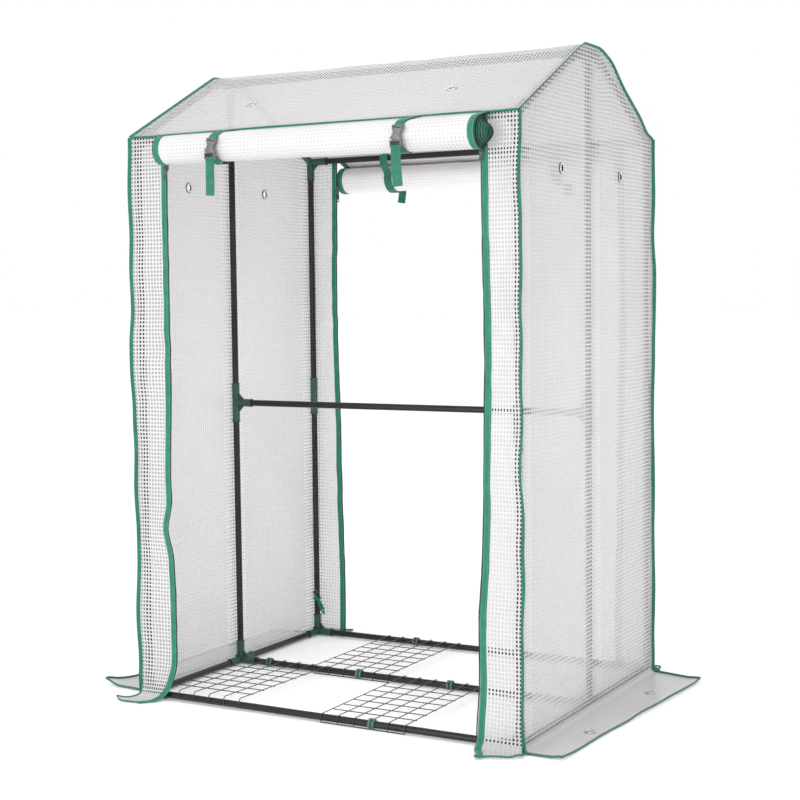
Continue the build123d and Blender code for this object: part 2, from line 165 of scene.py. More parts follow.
def add_node(tree, kind, **values):
    """A node with its inputs and settings."""
    node = tree.nodes.new(kind)
    for name, value in values.items():
        if name in node.inputs:
            node.inputs[name].default_value = value
        else:
            setattr(node, name, value)
    return node


def mottled(tree, coordinates, scale, dark, light, detail=4.0):
    """Colour that drifts between two shades, and the noise behind it."""
    noise = add_node(tree, "ShaderNodeTexNoise", Scale=scale, Detail=detail)
    tree.links.new(coordinates, noise.inputs["Vector"])
    ramp = add_node(tree, "ShaderNodeValToRGB")
    ramp.color_ramp.elements[0].position, ramp.color_ramp.elements[1].position = 0.32, 0.68
    ramp.color_ramp.elements[0].color = (*dark, 1)
    ramp.color_ramp.elements[1].color = (*light, 1)
    tree.links.new(noise.outputs["Fac"], ramp.inputs["Fac"])
    return ramp.outputs["Color"], noise.outputs["Fac"]


def relief(tree, shader, height, distance, strength=0.5):
    """Bump from a height."""
    node = add_node(tree, "ShaderNodeBump", Strength=strength, Distance=distance)
    tree.links.new(height, node.inputs["Height"])
    tree.links.new(node.outputs["Normal"], shader.inputs["Normal"])


def spread(tree, value, shader, low, high):
    """Roughness that follows a 0 to 1 value."""
    node = add_node(tree, "ShaderNodeMapRange")
    node.inputs["To Min"].default_value, node.inputs["To Max"].default_value = low, high
    tree.links.new(value, node.inputs["Value"])
    tree.links.new(node.outputs["Result"], shader.inputs["Roughness"])


def place_of(tree):
    """Coordinates of the object's own space."""
    return add_node(tree, "ShaderNodeTexCoord").outputs["Object"]


def surface(name, scale, dark, light, rough, grain=None, detail=4.0, **plain):
    """A material whose colour and roughness drift slowly, with a fine grain in relief."""
    material, tree, shader = new_material(name, **plain)
    colour, slow = mottled(tree, place_of(tree), scale, dark, light, detail)
    tree.links.new(colour, shader.inputs["Base Color"])
    spread(tree, slow, shader, *rough)
    if grain:
        fineness, grain_detail, height, strength = grain
        fine = add_node(tree, "ShaderNodeTexNoise", Scale=fineness, Detail=grain_detail)
        tree.links.new(place_of(tree), fine.inputs["Vector"])
        relief(tree, shader, fine.outputs["Fac"], height, strength)
    return material, tree, shader, colour


def moulded(name, dark, light, rough=(0.36, 0.52)):
    """Moulded plastic with a fine grain."""
    return surface(name, 26.0, dark, light, rough, (900.0, 3.0, 0.00015, 0.35))[0]


def coated_steel(name, dark, light, metallic, rough=(0.27, 0.42), shine=0.5):
    """Powder-coated steel with an orange-peel relief."""
    peel = (520.0, 2.0, 0.0002, 0.3)
    return surface(name, 14.0, dark, light, rough, peel, 7.0, Metallic=metallic, Specular_IOR_Level=shine)[0]


def pressed_metal(name, dark, light):
    """Pressed metal of an eyelet."""
    return surface(name, 220.0, dark, light, (0.18, 0.36), Metallic=1.0)[0]


def shine_through(tree, shader, colour, through, clear=0.0, tint=(1.0, 1.0, 1.0)):
    """Lets light from behind glow through a shader, and a clear share of the view pass straight on."""
    glow = add_node(tree, "ShaderNodeBsdfTranslucent")
    tree.links.new(colour, glow.inputs["Color"])
    body = add_node(tree, "ShaderNodeMixShader")
    body.inputs[0].default_value = through
    tree.links.new(shader.outputs["BSDF"], body.inputs[1])
    tree.links.new(glow.outputs["BSDF"], body.inputs[2])
    result = body
    if clear:
        gap = add_node(tree, "ShaderNodeBsdfTransparent", Color=(*tint, 1))
        result = add_node(tree, "ShaderNodeMixShader")
        result.inputs[0].default_value = 1 - clear
        tree.links.new(gap.outputs["BSDF"], result.inputs[1])
        tree.links.new(body.outputs["Shader"], result.inputs[2])
    tree.links.new(result.outputs["Shader"], tree.nodes["Material Output"].inputs["Surface"])


def scrim_material(name, dark, light, through):
    """White woven yarn under glossy film."""
    yarn = (700.0, 2.0, 0.0002, 0.25)
    material, tree, shader, colour = surface(name, 5.0, dark, light, (0.26, 0.4), yarn)
    if through:
        shine_through(tree, shader, colour, through)
    return material


def film_material(name, dark, light, through, clear, tint=(0.94, 0.94, 0.94)):
    """Film in the windows of the scrim: milky, but for a clear share that has a tint."""
    material, tree, shader, colour = surface(name, 9.0, dark, light, (0.1, 0.24))
    shine_through(tree, shader, colour, through, clear, tint)
    return material


def woven(name, dark, light, stitch=None, pitch=0.0016):
    """Woven tape. Its UV map is in metres: along the tape and across it, with 0 on its middle line."""
    material, tree, shader = new_material(name, roughness=0.62, Sheen_Weight=0.12, Sheen_Roughness=0.4)
    flat = add_node(tree, "ShaderNodeUVMap", uv_map="flat").outputs["UV"]
    colour = mottled(tree, place_of(tree), 60.0, dark, light)[0]
    waves = []
    for direction, size in (("X", pitch), ("Y", pitch * 0.8)):
        wave = add_node(tree, "ShaderNodeTexWave", Scale=tau / (20 * size), bands_direction=direction)
        tree.links.new(flat, wave.inputs["Vector"])
        waves.append(wave.outputs["Fac"])
    weave = add_node(tree, "ShaderNodeMath", operation="MULTIPLY")
    for index, wave in enumerate(waves):
        tree.links.new(wave, weave.inputs[index])
    shade = add_node(tree, "ShaderNodeMapRange")
    shade.inputs["To Min"].default_value, shade.inputs["To Max"].default_value = 0.72, 1.08
    tree.links.new(weave.outputs["Value"], shade.inputs["Value"])
    tint = add_node(tree, "ShaderNodeVectorMath", operation="SCALE")
    tree.links.new(colour, tint.inputs[0])
    tree.links.new(shade.outputs["Result"], tint.inputs["Scale"])
    result = tint.outputs["Vector"]
    if stitch:
        result = stitched(tree, flat, result, *stitch)
    tree.links.new(result, shader.inputs["Base Color"])
    relief(tree, shader, weave.outputs["Value"], 0.0003, 0.6)
    return material


def stitched(tree, flat, colour, offset, thread_colour):
    """Rows of stitches at an offset each side of a tape's middle line, laid over a colour."""
    axes = add_node(tree, "ShaderNodeSeparateXYZ")
    tree.links.new(flat, axes.inputs["Vector"])

    def maths(operation, *values):
        node = add_node(tree, "ShaderNodeMath", operation=operation)
        for socket, value in zip(node.inputs, values):
            if isinstance(value, float):
                socket.default_value = value
            else:
                tree.links.new(value, socket)
        return node.outputs["Value"]

    half_width, pitch, filled = 0.00045, 0.0042, 0.66
    from_row = maths("ABSOLUTE", maths("SUBTRACT", maths("ABSOLUTE", axes.outputs["Y"]), offset))
    on_row = maths("LESS_THAN", from_row, half_width)
    on_stitch = maths("LESS_THAN", maths("FRACT", maths("DIVIDE", axes.outputs["X"], pitch)), filled)
    mix = add_node(tree, "ShaderNodeMix", data_type="RGBA")
    tree.links.new(maths("MULTIPLY", on_row, on_stitch), mix.inputs[0])
    tree.links.new(colour, mix.inputs[6])
    mix.inputs[7].default_value = (*thread_colour, 1)
    return mix.outputs[2]


scrim_look = scrim_material("scrim", (0.65, 0.64, 0.645), (0.695, 0.685, 0.69), 0.26)
milky = ((0.570, 0.555, 0.562), (0.615, 0.60, 0.607))
film_look = film_material("film", *milky, 0.70, 0.27)
touch_look = film_material("film_against_a_tube", *milky, 0.70, 0.66, (0.88, 0.87, 0.90))
cover_looks = [scrim_look, film_look, touch_look]
strip_look = film_material("film_of_a_strip", *milky, 0.70, 0.84, (0.73, 0.73, 0.735))
strip_scrim_look = scrim_material("scrim_of_a_strip", (0.72, 0.71, 0.715), (0.77, 0.76, 0.765), 0.26)
laid_look = film_material("film_on_the_ground", (0.68, 0.67, 0.67), (0.73, 0.72, 0.72), 0.3, 0.12)
laid_looks = [scrim_look, laid_look]
wound_looks = {
    "front": [
        scrim_material("scrim_in_front_roll", (0.655, 0.65, 0.65), (0.70, 0.695, 0.695), 0.0),
        film_material("film_in_front_roll", (0.575, 0.565, 0.565), (0.63, 0.62, 0.62), 0.0, 0.0),
    ],
    # Painted light: the rear roll's scrim and film are a lighter copy of the front roll's, to brighten it
    # where the eave shades it.
    "rear": [
        scrim_material("scrim_in_rear_roll", (0.88, 0.865, 0.855), (0.93, 0.915, 0.905), 0.0),
        film_material("rear_roll_film_painted_light", (0.83, 0.815, 0.805), (0.88, 0.865, 0.855), 0.0, 0.0),
    ],
}
light_stitch = (0.10, 0.36, 0.25)
band_look = woven("door_band_tape", (0.008, 0.20, 0.115), (0.016, 0.27, 0.155), (0.0052, light_stitch))
binding_look = woven("binding_tape", (0.006, 0.17, 0.10), (0.012, 0.23, 0.135))
flap_binding_look = woven("flap_binding_tape", (0.045, 0.17, 0.115), (0.07, 0.22, 0.15))
dark_stitch = (0.02, 0.2, 0.13)
webbing_look = woven("strap_webbing", (0.01, 0.17, 0.10), (0.02, 0.235, 0.14), (0.0095, dark_stitch), 0.002)
tube_dark, tube_light = (0.009, 0.0098, 0.0065), (0.016, 0.017, 0.012)
tube_look = coated_steel("tube_coating", tube_dark, tube_light, 0.0, (0.13, 0.21), 0.38)
wire_look = coated_steel("wire_coating", (0.028, 0.028, 0.024), (0.045, 0.044, 0.038), 0.2)
connector_look = moulded("connector_plastic", (0.018, 0.062, 0.042), (0.030, 0.088, 0.060))
clip_look = moulded("clip_plastic", (0.04, 0.15, 0.10), (0.06, 0.19, 0.135))
buckle_look = moulded("buckle_plastic", (0.13, 0.125, 0.135), (0.18, 0.175, 0.185), (0.3, 0.45))
# A dark plate that paints the shadow in a buckle's slot, between its ladder bars.
buckle_slot_painted_shadow_look = moulded("shadowed_slot_of_buckle", (0.006, 0.012, 0.009), (0.010, 0.020, 0.015))
coil_look = moulded("zip_coil", (0.006, 0.010, 0.008), (0.014, 0.02, 0.017), (0.3, 0.42))
slider_look = moulded("zip_slider_enamel", (0.05, 0.085, 0.07), (0.075, 0.115, 0.10), (0.25, 0.4))
metal_look = pressed_metal("eyelet_metal", (0.72, 0.73, 0.74), (0.88, 0.89, 0.90))
# The two edge colours of the eyelets are painted shade: a dark contact shadow round the outer edge of each
# rim and in the barrel, and a fainter copy of it for the roof and flap eyelets.
eyelet_painted_shade_look = pressed_metal("eyelet_rim_painted_shade", (0.03, 0.055, 0.045), (0.06, 0.09, 0.075))
eyelet_faint_painted_shade_look = pressed_metal("eyelet_light_edge", (0.36, 0.37, 0.38), (0.48, 0.49, 0.50))


# ---- mesh pieces --------------------------------------------------------------------------------
def add_object(name, data):
    """A new object in the scene."""
    thing = bpy.data.objects.new(name, data)
    bpy.context.scene.collection.objects.link(thing)
    return thing


def finish_piece(name, data, looks, body=None):
    """A mesh as a piece of the object, with its materials and the body it rides on."""
    piece = add_object(name, data)
    for look in looks:
        data.materials.append(look)
    data.polygons.foreach_set("use_smooth", [True] * len(data.polygons))
    if body:
        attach(piece, body)
    return piece


def write_flat(data, flat):
    """Stores flat coordinates, in metres, as the mesh's UV map."""
    corners = np.zeros(len(data.loops), int)
    data.loops.foreach_get("vertex_index", corners)
    layer = data.uv_layers.new(name="flat")
    layer.data.foreach_set("uv", flat[corners].astype(np.float32).ravel())


def mesh_sheet(
    name, outline, place, body=None, holes=(), cell=(cell_wide, cell_long), looks=cover_looks, touch=None
):
    """Film with its scrim, cut to a convex flat outline and carried into space by place(u, v).

    holes are flat places to cut open. touch(u, v) says where the film lies so close to a tube that it shows
    it clearly.
    """
    outline = np.array(outline, float)
    low, high = outline.min(0), outline.max(0)
    lines = []
    for axis in (0, 1):
        first = np.arange(low[axis] - thread / 2, high[axis] + cell[axis], cell[axis])
        lines.append(np.stack([first, first + thread], 1).ravel())
    columns, rows = (len(line) for line in lines)
    points = np.stack(np.meshgrid(*lines, indexing="ij"), -1).reshape(-1, 2)
    across, along = np.meshgrid(np.arange(columns - 1), np.arange(rows - 1), indexing="ij")
    corner = (across * rows + along).ravel()
    faces = np.stack([corner, corner + rows, corner + rows + 1, corner + 1], 1)
    window = ((across % 2 == 1) & (along % 2 == 1)).ravel()
    grid = bpy.data.meshes.new(name)
    grid.from_pydata([(u, v, 0) for u, v in points], [], faces.tolist())
    kinds = window.astype(np.int32)
    if touch:
        middles = points[faces].mean(1)
        kinds += window & touch(middles[:, 0], middles[:, 1])
    grid.polygons.foreach_set("material_index", kinds)
    work = bmesh.new()
    work.from_mesh(grid)
    for index, start in enumerate(outline):
        edge = outline[(index + 1) % len(outline)] - start
        geometry = work.verts[:] + work.edges[:] + work.faces[:]
        bmesh.ops.bisect_plane(
            work,
            geom=geometry,
            dist=1e-6,
            plane_co=(*start, 0),
            plane_no=(edge[1], -edge[0], 0),
            clear_outer=True,
        )
    for hole in holes:
        inside = [f for f in work.faces if (f.calc_center_median().xy - Vector(hole)).length < eyelet_cut]
        bmesh.ops.delete(work, geom=inside, context="FACES")
    flat = np.array([v.co.xy[:] for v in work.verts])
    for vertex, spot in zip(work.verts, place(flat[:, 0], flat[:, 1])):
        vertex.co = spot
    work.to_mesh(grid)
    work.free()
    write_flat(grid, flat)
    return finish_piece(name, grid, looks, body)


def tube_faces(rings, around):
    """Faces of a closed tube, from rings of so many points around each, with a cap at both ends."""
    faces = []
    for ring in range(rings - 1):
        for index in range(around):
            first, second = ring * around + index, ring * around + (index + 1) % around
            faces.append((first, first + around, second + around, second))
    last = (rings - 1) * around
    return faces + [tuple(range(around)), tuple(last + index for index in reversed(range(around)))]


def mirrored(right):
    """A closed outline from its right half."""
    return right + [(-x, z) for x, z in reversed(right)]


class Build:
    """Collects simple shapes into one mesh."""

    def __init__(self):
        self.points, self.faces, self.flat, self.marks = [], [], [], []

    def add(self, points, faces, flat=None, mark=0):
        """Adds points with their faces; mark is the index of their material, or one for each face."""
        base = len(self.points)
        self.points += [tuple(point) for point in points]
        self.faces += [tuple(base + index for index in face) for face in faces]
        self.flat += [(0.0, 0.0)] * len(points) if flat is None else [tuple(pair) for pair in flat]
        self.marks += [mark] * len(faces) if isinstance(mark, int) else list(mark)

    def tape(self, path, across, width, depth, mark=0):
        """A flat tape with rounded edges along a path; across points along its width."""
        path, across = np.asarray(path, float), np.broadcast_to(across, np.shape(path))
        tangent = unit(np.gradient(path, axis=0))
        across = unit(across - tangent * (across * tangent).sum(-1, keepdims=True))
        normal = np.cross(tangent, across)
        section = [(-0.5, 0), (-0.44, 0.42), (-0.2, 0.5), (0.2, 0.5), (0.44, 0.42)]
        section += [(-a, -b) for a, b in section]
        steps = np.concatenate([[0], np.cumsum(np.linalg.norm(np.diff(path, axis=0), axis=1))])
        points, flat = [], []
        for a, b in section:
            points.append(path + across * a * width + normal * b * depth)
            flat.append(np.stack([steps, np.full(len(steps), a * width)], -1))
        points = np.stack(points, 1).reshape(-1, 3)
        flat = np.stack(flat, 1).reshape(-1, 2)
        self.add(points, tube_faces(len(path), len(section)), flat, mark)

    def turned(self, centre, axis, profile, marks):
        """A ring turned about an axis from a closed profile of (radius, height) points, with their marks."""
        turn = Vector(axis).normalized().to_track_quat("Z", "X").to_matrix()
        points, count, steps = [], len(profile), 32
        for step in range(steps):
            angle = tau * step / steps
            for radius, height in profile:
                spot = turn @ Vector((radius * cos(angle), radius * sin(angle), height))
                points.append(Vector(centre) + spot)
        faces = []
        for step in range(steps):
            for index in range(count):
                here, there = step * count, (step + 1) % steps * count
                following = (index + 1) % count
                faces.append((here + index, there + index, there + following, here + following))
        self.add(points, faces, None, list(marks) * steps)

    def plate(self, outline, turn, depth, bevel, mark=0):
        """An outline in X and Z as a plate of some depth in Y, its edges rounded; turn places it."""
        work = bmesh.new()
        face = work.faces.new([work.verts.new((x, -depth / 2, z)) for x, z in outline])
        grown = bmesh.ops.extrude_face_region(work, geom=[face])["geom"]
        moved = [item for item in grown if isinstance(item, bmesh.types.BMVert)]
        bmesh.ops.translate(work, verts=moved, vec=(0, depth, 0))
        bmesh.ops.recalc_face_normals(work, faces=work.faces[:])
        sharp = [edge for edge in work.edges if edge.calc_face_angle(0) > radians(25)]
        bmesh.ops.bevel(work, geom=sharp, offset=bevel, segments=2, profile=0.5, affect="EDGES")
        work.verts.index_update()
        points = [turn @ vertex.co for vertex in work.verts]
        faces = [[vertex.index for vertex in face.verts] for face in work.faces]
        work.free()
        self.add(points, faces, None, mark)

    def block(self, turn, spot, size, depth, bevel, mark=0):
        """A four-sided plate about a spot (x, z); size is half its foot and its top, and its low and high."""
        foot, top, low, high = size
        turn = turn @ Matrix.Translation((spot[0], 0, spot[1]))
        self.plate([(-foot, low), (foot, low), (top, high), (-top, high)], turn, depth, bevel, mark)

    def piece(self, name, looks, record_slot, body=None):
        """The finished mesh as a piece."""
        data = bpy.data.meshes.new(name)
        data.from_pydata(self.points, [], self.faces)
        data.polygons.foreach_set("material_index", self.marks)
        write_flat(data, np.array(self.flat))
        return finish_piece(name, data, looks, body)


# ---- shapes of the cover ------------------------------------------------------------------------
def roof_profile(v):
    """(y, z) of the roof at a distance v from the ridge, measured along the sheet."""
    over = np.abs(v) - roof_flat
    down = (over + np.sqrt(over * over + 0.006**2)) / 2
    y = np.sign(v) * (np.abs(v) - down * (1 - cos(slope)))
    z = roof_top - down * sin(slope)
    return y, z


half_roof = roof_flat + slope_length
eave_y, eave_z = (float(values[0]) for values in roof_profile(np.array([half_roof])))


def under_roof(y, z):
    """Distance from a point of a gable up to the roof, square to its slope."""
    return (roof_top - np.clip(np.abs(y) - roof_flat, 0, None) * (sin(slope) / cos(slope)) - z) * cos(slope)


def gable_swell(x, fall):
    """How far the rear slope rises off the right rafter below the ridge, and dips over the eave."""
    near = ease((x - 0.1) / 0.3) * ease(fall / 0.04)
    at_edge = ease((x - wall_x + 0.004) / 0.004)
    dip = 0.0006 * bump(fall, 0.84, 0.1) + 0.009 * bump(fall, 0.88, 0.09) * at_edge
    return near * (0.0125 * bump(fall, 0.21, 0.15) - dip)


def roof_place(u, v):
    """The roof sheet: it sags between the rafters and is a little wrinkled."""
    y, z = roof_profile(v)
    fall = np.clip((np.abs(v) - roof_flat) / slope_length, 0, 1)
    free = ease((wall_x - np.abs(u)) / 0.10) * ease(fall / 0.16) * ease((1 - fall) / 0.12)
    sag = free * (0.0055 + 0.0022 * lumps(u, v, 0.11, 0.05, 3) + 0.0009 * lumps(u, v, 0.03, 0.09, 4))
    by_ridge = bump(fall, 0.0, 0.1) * ease((wall_x - np.abs(u)) / 0.1)
    sag = sag + 0.0012 * by_ridge * (1 + lumps(u, v, 0.05, 0.2, 5))
    sag = sag - (v > 0) * gable_swell(u, fall)
    return stack(u, y - sag * np.sign(v) * sin(slope), z - sag * cos(slope))


def wall_slack(y, z):
    """How free a wall is to move at a point: 0 at a tube, 1 far from any."""
    by_post = np.minimum(np.abs(np.abs(y) - post_y), np.abs(y))
    near = np.minimum(np.minimum(by_post, under_roof(y, z)), z + 0.005)
    return ease((near - 0.012) / 0.09)


def corner_drift(end, side, z):
    """How far out in x and in y a sewn corner of the cover wanders between its foot and the eave."""
    free = ease(z / 0.06) * ease((1.30 - z) / 0.10)
    reach = 0.010 if end < 0 else 0.003
    out_x = 0.0020 * free * wander(z, 0.10, 97 + side + 3 * end)
    out_y = reach * free * (0.5 + 0.5 * wander(z, 0.085, 105 + side + 3 * end))
    return out_x, out_y


def wall_place(side):
    """A side wall, by its y and z."""

    def place(y, z):
        low = ease((0.42 - z) / 0.3)
        ripples = lumps(y, z + 0.12 * y, 0.16, 0.035, 11 + side)
        out = 0.0035 * lumps(y, z, 0.22, 0.3, 7 + side) + 0.0032 * low * ripples - 0.001
        out = out + 0.0018 * bump(z, 0.66, 0.13) * lumps(y, z + 0.1 * y, 0.2, 0.04, 15)
        slack = wall_slack(y, z)
        y_drift = 0.0014 * slack * lumps(y, z, 0.1, 0.07, 17)
        z_drift = 0.0016 * slack * lumps(y, z, 0.07, 0.12, 18)
        x = wall_x + slack * out
        for end in ends.values():
            hold = ease(1 - (strip_y - end * y) / 0.07)
            out_x, out_y = corner_drift(end, side, z)
            x, y_drift = x + hold * out_x, y_drift + hold * end * out_y
        return stack(side * x, y + y_drift, z + z_drift)

    return place


def wall_touch(y, z):
    """Where a side wall lies along a post, a base rail or a rafter."""
    by_post = (np.abs(y) < wall_shows_post) | (np.abs(np.abs(y) - post_y) < wall_shows_post)
    return by_post | (z < wall_shows_rail) | (under_roof(y, z) < wall_shows_rafter)


def roof_touch(x, v):
    """Where the roof lies along a rafter or the ridge bar."""
    rafter_x = middle("corner_post_rear_right").x
    return (np.abs(x) > rafter_x - roof_shows_rafter) | (np.abs(v) < roof_shows_ridge)


def inner_edge(end_name, side_name):
    """Distance from the middle of the doorway to the inner edge of a door strip."""
    low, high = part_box(f"strip_{end_name}_{side_name}")
    return min(abs(low.x), abs(high.x))


def sway(end_name, side_name, z):
    """How far a strip's inner edge strays into the doorway at a height."""
    if (end_name, side_name) == ("front", "left"):
        return -0.016 * bump(z, 0.408, 0.045) - 0.006 * bump(z, 0.52, 0.10) - 0.007 * bump(z, 0.03, 0.05)
    if (end_name, side_name) == ("front", "right"):
        return -0.005 * bump(z, 0.85, 0.2) + 0.013 * bump(z, 0.24, 0.15) + 0.020 * bump(z, 0.0, 0.12)
    return 0.007 * bump(z, 0.12, 0.2) - 0.007 * bump(z, 0.95, 0.25)


def flare(end_name, side_name, run, share):
    """How far the foot of a strip spreads outward, a distance down past foot_z; share is 1 at its zip."""
    spread_of = {("front", "left"): (0.066, 0.068), ("front", "right"): (0.021, 0.024)}
    inner, outer = spread_of.get((end_name, side_name), (0.012, 0.020))
    if inner > 0.05:
        near = inner * np.clip((run + 0.078) / 0.128, 0, 1) ** 1.9
    else:
        near = inner * ease((run - 0.012) / 0.075)
    far = outer * ease(run / 0.06)
    return near * share + far * (1 - share)


def bend(run, radius=foot_z):
    """(outward, height) of a sheet that hangs down through foot_z and turns outward onto the ground."""
    run = run + radius - foot_z
    turn = np.clip(run / (radius * pi / 2), 0, 1) * pi / 2
    flat = np.clip(run - radius * pi / 2, 0, None)
    return radius * (1 - np.cos(turn)) + flat, radius - np.minimum(run, 0) - radius * np.sin(turn)


def strip_place(end_name, side_name):
    """A door strip with its foot, by x and the distance run down past foot_z."""
    end, side = ends[end_name], sides[side_name]
    inner = inner_edge(end_name, side_name)
    radius = {("front", "left"): 0.034, ("front", "right"): 0.022}.get((end_name, side_name), 0.016)

    def place(x, run):
        out, z = bend(run, radius)
        share = np.clip((wall_x - np.abs(x)) / (wall_x - inner), 0, 1.1)
        kept = 1 - 0.6 * ease((run - 0.01) / 0.08)
        shift = -sway(end_name, side_name, np.maximum(z, foot_z)) * share * kept
        shift = shift + flare(end_name, side_name, run, share)
        free = ease(share / 0.5) * ease((1.24 - z) / 0.12) * ease((z - 0.02) / 0.06)
        free = free * (1 - ease(share / 0.7) * bump(z, slider_low, 0.05))  # flat where a slider ends its run
        inside = ease(share / 0.25) * ease((1.02 - share) / 0.25)
        shift = shift + 0.0016 * inside * lumps(x, z, 0.2, 0.06, 24 + end + 3 * side)
        wave = lumps(x, z, 0.05, 0.11, 21 + end + 3 * side) + 0.5 * lumps(x, z, 0.03, 0.035, 31 + side)
        swell = np.abs(wave) * 0.0035 * free
        lift = np.clip(run - 0.03, 0, None) * 0.06 * (1 + lumps(x, run, 0.04, 0.05, 41 + side))
        lift = lift + 0.007 * ease((run - 0.022) / 0.03) * ease(1 - share / 0.3)
        out_x, out_y = corner_drift(end, side, z)
        hold = ease(1 - share / 0.8)
        x = x + side * (shift + hold * out_x)
        return stack(x, end * (strip_y + swell + out + hold * out_y), z + strip_rise + lift)

    return place


# Ground flaps: half length of a side flap, its reach at both ends, and the reach of a door flap at its zip
# tape, half-way and at the corner
flap_half = strip_y - 0.002
side_reach = {"right": {"front": 0.100, "rear": 0.150}, "left": {"front": 0.166, "rear": 0.140}}
door_reach = {
    ("front", "left"): (0.050, 0.056, 0.039),
    ("front", "right"): (0.089, 0.067, 0.043),
    ("rear", "left"): (0.074, 0.060, 0.036),
    ("rear", "right"): (0.074, 0.060, 0.036),
}


def side_flap_place(side_name):
    """The flap at the foot of a side wall, by y and the distance run down past foot_z."""
    side, reach = sides[side_name], side_reach[side_name]

    def place(y, run):
        out, z = bend(run)
        share = (y + flap_half) / (2 * flap_half)
        taken = np.clip(run / (reach["front"] * (1 - share) + reach["rear"] * share), 0, 1)
        rear = 0.043 * taken**1.5
        if side_name == "right":
            front = -0.011 * ease(run / 0.025) - 0.006 * taken
            out = out + 0.003 * taken * wander(y, 0.2, 53)
        else:
            front = 0.036 * ease(run / 0.045) + 0.013 * taken**2
            out = out * (1 - 0.15 * ease(share / 0.16))
        moved = y + front * (1 - share) ** 4 - rear * share**5
        lift = 0.025 * np.clip(run - 0.03, 0, None) * (1 + lumps(y, run, 0.09, 0.06, 51 + side))
        tip = bump(share, 0.0, 0.05) * (0.009 if side_name == "left" else 0.004)
        lift = lift + (tip + 0.004 * bump(share, 1.0, 0.06)) * ease((taken - 0.7) / 0.3)
        return stack(side * (wall_x + out), moved, z + flap_rise + lift)

    return place


# ---- cover --------------------------------------------------------------------------------------
eyelet_down = roof_flat + (roof_eyelet[1] - roof_flat) / cos(slope)
roof_eyelets = [(side * roof_eyelet[0], end * eyelet_down) for side in (-1, 1) for end in (-1, 1)]


def eyelet_ring(build, centre, normal, edge=1):
    """A pressed eyelet: a bright rolled rim on each face of the sheet; edge is the material index of the
    painted shade on its outer edges and barrel.
    """
    half = [(0.0075, 0.0021), (0.0083, 0.0027), (0.0099, 0.0028), (0.0115, 0.0021), (0.0125, 0.0004)]
    rim = half + [(radius, -height) for radius, height in reversed(half)]
    # Faces marked edge, the outer flanks of both rims and the barrel, get the painted shade.
    build.turned(centre, normal, rim, (0, 0, 0, edge, edge, edge, 0, 0, 0, edge))


def point_on(place, u, v):
    """One point of a sheet."""
    return place(np.array([u]), np.array([v]))[0]


def cover_walls():
    """Side walls and gables, and all the eyelets of walls and roof."""
    rings = Build()
    for name, side in sides.items():
        place = wall_place(side)
        peak, corner = roof_top - 0.001, eave_z - 0.0015
        outline = [(-strip_y, foot_z), (strip_y, foot_z), (strip_y, corner)]
        outline += [(roof_flat, peak), (-roof_flat, peak), (-strip_y, corner)]
        spots = [(end * wall_eyelet[0], wall_eyelet[1]) for end in ends.values()]
        sheet = mesh_sheet(f"wall_sheet_{name}", outline, place, "frame", spots, touch=wall_touch)
        lift_gable(sheet)
        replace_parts(sheet, f"wall_{name}")
        for spot in spots:
            eyelet_ring(rings, point_on(place, *spot), (side, 0, 0))
    for u, v in roof_eyelets:
        eyelet_ring(rings, point_on(roof_place, u, v), (0, np.sign(v) * sin(slope), cos(slope)), 2)
    # Index 1 paints dark shade on the wall eyelets' edges, index 2 faint painted shade on the roof eyelets'.
    looks = [metal_look, eyelet_painted_shade_look, eyelet_faint_painted_shade_look]
    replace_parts(rings.piece("eyelets_of_cover", looks, "eyelet_metal", "frame"), "cover_eyelets")


def lift_gable(sheet):
    """Carries the right wall's gable along with the soft line of the rear slope above it."""
    for vertex in sheet.data.vertices:
        x, y, z = vertex.co
        if x > 0 and y > roof_flat and z > eave_bar_z:
            fall = (y - roof_flat) / (strip_y - roof_flat)
            straight = roof_top - (y - roof_flat) * sin(slope) / cos(slope)
            share = ease((z - eave_bar_z) / (straight - eave_bar_z + 1e-6))
            vertex.co.z += float(gable_swell(wall_x, fall) * share)


def cover_roof():
    """The roof, one sheet over the ridge from eave to eave."""
    outline = [(-wall_x, -half_roof), (wall_x, -half_roof), (wall_x, half_roof), (-wall_x, half_roof)]
    cell = (cell_long, cell_wide)
    sheet = mesh_sheet("roof_sheet", outline, roof_place, "frame", roof_eyelets, cell, touch=roof_touch)
    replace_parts(sheet, "roof")


def door_strips():
    """The fixed strips beside the doorways, their zip tapes and coils, and the flaps at their feet."""
    low = foot_z - (eave_z - 0.001)
    for end_name in ends:
        for side_name, side in sides.items():
            tag = f"{end_name}_{side_name}"
            place = strip_place(end_name, side_name)
            inner = inner_edge(end_name, side_name)
            edges = sorted((side * inner, side * wall_x))
            outline = [(edges[0], low), (edges[1], low), (edges[1], 0), (edges[0], 0)]
            cell = (cell_narrow if tag == "front_right" else cell_wide, cell_long)
            looks = [strip_scrim_look, strip_look]
            strip = mesh_sheet(f"strip_sheet_{tag}", outline, place, "frame", (), cell, looks)
            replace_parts(strip, f"strip_{tag}")
            door_flap(end_name, side_name, place, inner)
            door_edge(end_name, side_name, place, inner, low)


def bind_flap(tag, sheet, edge):
    """Makes a ground flap's binding a piece, bakes the places of both, and hides the flap's CAD stand-in."""
    binding = edge.piece(f"flap_binding_{tag}", [flap_binding_look], "green_webbing")
    for piece in (sheet, binding):
        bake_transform(piece)
    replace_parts(sheet, f"skirt_{tag}")


